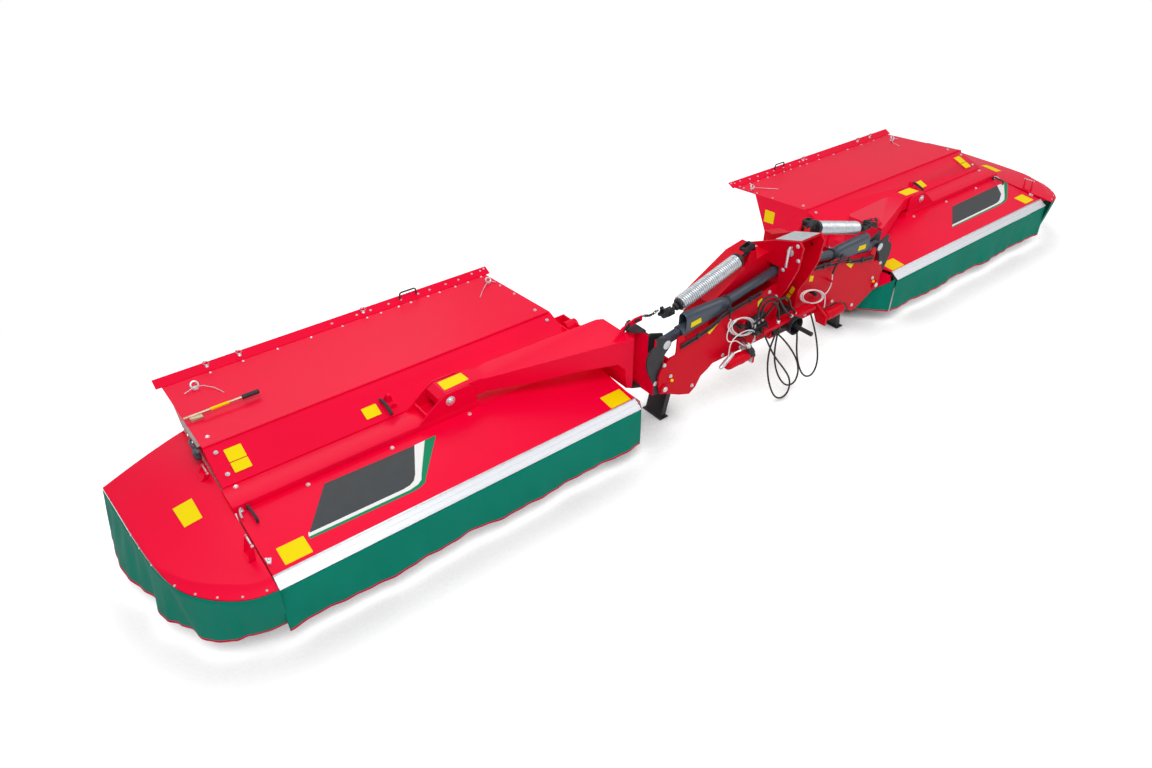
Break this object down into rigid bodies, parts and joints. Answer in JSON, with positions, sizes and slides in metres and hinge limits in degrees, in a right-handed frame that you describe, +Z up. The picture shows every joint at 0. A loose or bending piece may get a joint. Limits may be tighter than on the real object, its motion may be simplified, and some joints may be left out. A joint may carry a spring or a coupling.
{
  "type": "disc mower conditioner",
  "caption": "Butterfly disc mower conditioner: two folding mower units with tine rotors, guards and curtains on arms at a tractor headstock.",
  "frame": {"origin": "centre of the bounding box at ground level", "axes": "+X to the machine's left, +Z up, -Y towards the tractor"},
  "size_m": [9.2414, 2.252, 1.292],
  "materials": {
    "red_paint": "gloss",
    "black_paint": "satin",
    "grey_cylinder": "satin",
    "green_cloth": "coated cloth",
    "bright_strip": "brushed",
    "steel": "bare",
    "spring_zinc": "zinc plated",
    "cast_black": "painted",
    "hose_rubber": "matt",
    "white_rope": "braided"
  },
  "bodies": {
    "frame": {"headstock": "red_paint", "gearbox": "cast_black", "springs": "spring_zinc", "hose_one": "hose_rubber", "hose_two": "hose_rubber", "hose_three": "hose_rubber", "left_side_frame": "red_paint", "right_side_frame": "red_paint", "left_rope": "white_rope", "right_rope": "white_rope"},
    "left_bracket": {"left_bracket": "black_paint"},
    "left_arm": {"left_arm": "red_paint"},
    "left_unit": {"left_beam": "red_paint", "left_front_guard": "red_paint", "left_hood": "red_paint", "left_rear_deflector": "red_paint", "left_cutterbar": "steel", "left_drive_housing": "red_paint", "left_inner_curtain": "green_cloth"},
    "left_flap": {"left_front_strip": "bright_strip", "left_front_curtain": "green_cloth"},
    "left_side_guard": {"left_side_guard": "red_paint", "left_side_curtain": "green_cloth"},
    "left_rotor": {"left_tine_rotor": "steel"},
    "left_ram_rod": {"left_ram_rod": "grey_cylinder"},
    "left_ram_barrel": {"left_ram_barrel": "grey_cylinder"},
    "left_stand": {"left_stand": "black_paint"},
    "left_disc_1": {"left_disc_1": "steel"},
    "left_disc_2": {"left_disc_2": "steel"},
    "left_disc_3": {"left_disc_3": "steel"},
    "left_disc_4": {"left_disc_4": "steel"},
    "left_disc_5": {"left_disc_5": "steel"},
    "left_disc_6": {"left_disc_6": "steel"},
    "left_disc_7": {"left_disc_7": "steel"},
    "left_disc_8": {"left_disc_8": "steel"},
    "right_bracket": {"right_bracket": "black_paint"},
    "right_arm": {"right_arm": "red_paint"},
    "right_unit": {"right_beam": "red_paint", "right_front_guard": "red_paint", "right_hood": "red_paint", "right_rear_deflector": "red_paint", "right_cutterbar": "steel", "right_drive_housing": "red_paint", "right_inner_curtain": "green_cloth"},
    "right_flap": {"right_front_strip": "bright_strip", "right_front_curtain": "green_cloth"},
    "right_side_guard": {"right_side_guard": "red_paint", "right_side_curtain": "green_cloth"},
    "right_rotor": {"right_tine_rotor": "steel"},
    "right_ram_rod": {"right_ram_rod": "grey_cylinder"},
    "right_ram_barrel": {"right_ram_barrel": "grey_cylinder"},
    "right_stand": {"right_stand": "black_paint"},
    "right_disc_1": {"right_disc_1": "steel"},
    "right_disc_2": {"right_disc_2": "steel"},
    "right_disc_3": {"right_disc_3": "steel"},
    "right_disc_4": {"right_disc_4": "steel"},
    "right_disc_5": {"right_disc_5": "steel"},
    "right_disc_6": {"right_disc_6": "steel"},
    "right_disc_7": {"right_disc_7": "steel"},
    "right_disc_8": {"right_disc_8": "steel"}
  },
  "joints": [
    {"name": "left_fold", "type": "hinge", "parent": "frame", "child": "left_bracket", "pos_m": [1.23, -0.765, 0.437], "axis": [0, -1, 0], "range_deg": [-8, 88]},
    {"name": "left_break_back", "type": "hinge", "parent": "left_bracket", "child": "left_arm", "pos_m": [1.361, -0.6, 0.64], "axis": [0, 0, 1], "range_deg": [0, 25]},
    {"name": "left_unit_tilt", "type": "hinge", "parent": "left_arm", "child": "left_unit", "pos_m": [2.637, -0.206, 0.669], "axis": [0, -1, 0], "range_deg": [-1.5, 5]},
    {"name": "left_flap_lift", "type": "hinge", "parent": "left_unit", "child": "left_flap", "pos_m": [2.777, -0.8183, 0.46], "axis": [-1, 0, 0], "range_deg": [0, 110]},
    {"name": "left_side_guard_lift", "type": "hinge", "parent": "left_unit", "child": "left_side_guard", "pos_m": [4.085, -0.216, 0.602], "axis": [0, -1, 0], "range_deg": [0, 95]},
    {"name": "left_rotor_spin", "type": "hinge", "parent": "left_unit", "child": "left_rotor", "pos_m": [2.777, 0.212, 0.372], "axis": [1, 0, 0], "continuous": true},
    {"name": "left_stand_slide", "type": "slide", "parent": "frame", "child": "left_stand", "axis": [-0.2272, 0, 0.9738], "range_m": [0, 0.15]},
    {"name": "left_ram_swing", "type": "hinge", "parent": "frame", "child": "left_ram_barrel", "pos_m": [0.052, -0.765, 0.985], "axis": [0, -1, 0], "range_deg": [-26, 6]},
    {"name": "left_ram_slide", "type": "slide", "parent": "left_ram_barrel", "child": "left_ram_rod", "axis": [0.9859, 0, -0.1674], "range_m": [-0.26, 0.03]},
    {"name": "left_disc_1_spin", "type": "hinge", "parent": "left_unit", "child": "left_disc_1", "pos_m": [1.47, -0.42, 0.09], "axis": [0, 0, 1], "continuous": true},
    {"name": "left_disc_2_spin", "type": "hinge", "parent": "left_unit", "child": "left_disc_2", "pos_m": [1.85, -0.42, 0.09], "axis": [0, 0, 1], "continuous": true},
    {"name": "left_disc_3_spin", "type": "hinge", "parent": "left_unit", "child": "left_disc_3", "pos_m": [2.23, -0.42, 0.09], "axis": [0, 0, 1], "continuous": true},
    {"name": "left_disc_4_spin", "type": "hinge", "parent": "left_unit", "child": "left_disc_4", "pos_m": [2.61, -0.42, 0.09], "axis": [0, 0, 1], "continuous": true},
    {"name": "left_disc_5_spin", "type": "hinge", "parent": "left_unit", "child": "left_disc_5", "pos_m": [2.99, -0.42, 0.09], "axis": [0, 0, 1], "continuous": true},
    {"name": "left_disc_6_spin", "type": "hinge", "parent": "left_unit", "child": "left_disc_6", "pos_m": [3.37, -0.42, 0.09], "axis": [0, 0, 1], "continuous": true},
    {"name": "left_disc_7_spin", "type": "hinge", "parent": "left_unit", "child": "left_disc_7", "pos_m": [3.75, -0.42, 0.09], "axis": [0, 0, 1], "continuous": true},
    {"name": "left_disc_8_spin", "type": "hinge", "parent": "left_unit", "child": "left_disc_8", "pos_m": [4.13, -0.42, 0.09], "axis": [0, 0, 1], "continuous": true},
    {"name": "right_fold", "type": "hinge", "parent": "frame", "child": "right_bracket", "pos_m": [-1.23, -0.765, 0.437], "axis": [0, 1, 0], "range_deg": [-8, 88]},
    {"name": "right_break_back", "type": "hinge", "parent": "right_bracket", "child": "right_arm", "pos_m": [-1.361, -0.6, 0.64], "axis": [0, 0, -1], "range_deg": [0, 25]},
    {"name": "right_unit_tilt", "type": "hinge", "parent": "right_arm", "child": "right_unit", "pos_m": [-2.637, -0.206, 0.669], "axis": [0, 1, 0], "range_deg": [-1.5, 5]},
    {"name": "right_flap_lift", "type": "hinge", "parent": "right_unit", "child": "right_flap", "pos_m": [-2.777, -0.8183, 0.46], "axis": [-1, 0, 0], "range_deg": [0, 110]},
    {"name": "right_side_guard_lift", "type": "hinge", "parent": "right_unit", "child": "right_side_guard", "pos_m": [-4.085, -0.216, 0.602], "axis": [0, 1, 0], "range_deg": [0, 95]},
    {"name": "right_rotor_spin", "type": "hinge", "parent": "right_unit", "child": "right_rotor", "pos_m": [-2.777, 0.212, 0.372], "axis": [1, 0, 0], "continuous": true},
    {"name": "right_stand_slide", "type": "slide", "parent": "frame", "child": "right_stand", "axis": [0.2272, 0, 0.9738], "range_m": [0, 0.15]},
    {"name": "right_ram_swing", "type": "hinge", "parent": "frame", "child": "right_ram_barrel", "pos_m": [-0.052, -0.765, 0.985], "axis": [0, 1, 0], "range_deg": [-26, 6]},
    {"name": "right_ram_slide", "type": "slide", "parent": "right_ram_barrel", "child": "right_ram_rod", "axis": [-0.9859, 0, -0.1674], "range_m": [-0.26, 0.03]},
    {"name": "right_disc_1_spin", "type": "hinge", "parent": "right_unit", "child": "right_disc_1", "pos_m": [-1.47, -0.42, 0.09], "axis": [0, 0, 1], "continuous": true},
    {"name": "right_disc_2_spin", "type": "hinge", "parent": "right_unit", "child": "right_disc_2", "pos_m": [-1.85, -0.42, 0.09], "axis": [0, 0, 1], "continuous": true},
    {"name": "right_disc_3_spin", "type": "hinge", "parent": "right_unit", "child": "right_disc_3", "pos_m": [-2.23, -0.42, 0.09], "axis": [0, 0, 1], "continuous": true},
    {"name": "right_disc_4_spin", "type": "hinge", "parent": "right_unit", "child": "right_disc_4", "pos_m": [-2.61, -0.42, 0.09], "axis": [0, 0, 1], "continuous": true},
    {"name": "right_disc_5_spin", "type": "hinge", "parent": "right_unit", "child": "right_disc_5", "pos_m": [-2.99, -0.42, 0.09], "axis": [0, 0, 1], "continuous": true},
    {"name": "right_disc_6_spin", "type": "hinge", "parent": "right_unit", "child": "right_disc_6", "pos_m": [-3.37, -0.42, 0.09], "axis": [0, 0, 1], "continuous": true},
    {"name": "right_disc_7_spin", "type": "hinge", "parent": "right_unit", "child": "right_disc_7", "pos_m": [-3.75, -0.42, 0.09], "axis": [0, 0, 1], "continuous": true},
    {"name": "right_disc_8_spin", "type": "hinge", "parent": "right_unit", "child": "right_disc_8", "pos_m": [-4.13, -0.42, 0.09], "axis": [0, 0, 1], "continuous": true}
  ],
  "couplings": [
    {"joint": "left_ram_swing", "follows": "left_fold", "ratio": -0.244},
    {"joint": "left_ram_slide", "follows": "left_fold", "m_per_rad": -0.167},
    {"joint": "left_disc_2_spin", "follows": "left_disc_1_spin", "ratio": -1},
    {"joint": "left_disc_3_spin", "follows": "left_disc_1_spin", "ratio": 1},
    {"joint": "left_disc_4_spin", "follows": "left_disc_1_spin", "ratio": -1},
    {"joint": "left_disc_5_spin", "follows": "left_disc_1_spin", "ratio": 1},
    {"joint": "left_disc_6_spin", "follows": "left_disc_1_spin", "ratio": -1},
    {"joint": "left_disc_7_spin", "follows": "left_disc_1_spin", "ratio": 1},
    {"joint": "left_disc_8_spin", "follows": "left_disc_1_spin", "ratio": -1},
    {"joint": "right_ram_swing", "follows": "right_fold", "ratio": -0.244},
    {"joint": "right_ram_slide", "follows": "right_fold", "m_per_rad": -0.167},
    {"joint": "right_disc_2_spin", "follows": "right_disc_1_spin", "ratio": -1},
    {"joint": "right_disc_3_spin", "follows": "right_disc_1_spin", "ratio": 1},
    {"joint": "right_disc_4_spin", "follows": "right_disc_1_spin", "ratio": -1},
    {"joint": "right_disc_5_spin", "follows": "right_disc_1_spin", "ratio": 1},
    {"joint": "right_disc_6_spin", "follows": "right_disc_1_spin", "ratio": -1},
    {"joint": "right_disc_7_spin", "follows": "right_disc_1_spin", "ratio": 1},
    {"joint": "right_disc_8_spin", "follows": "right_disc_1_spin", "ratio": -1}
  ]
}
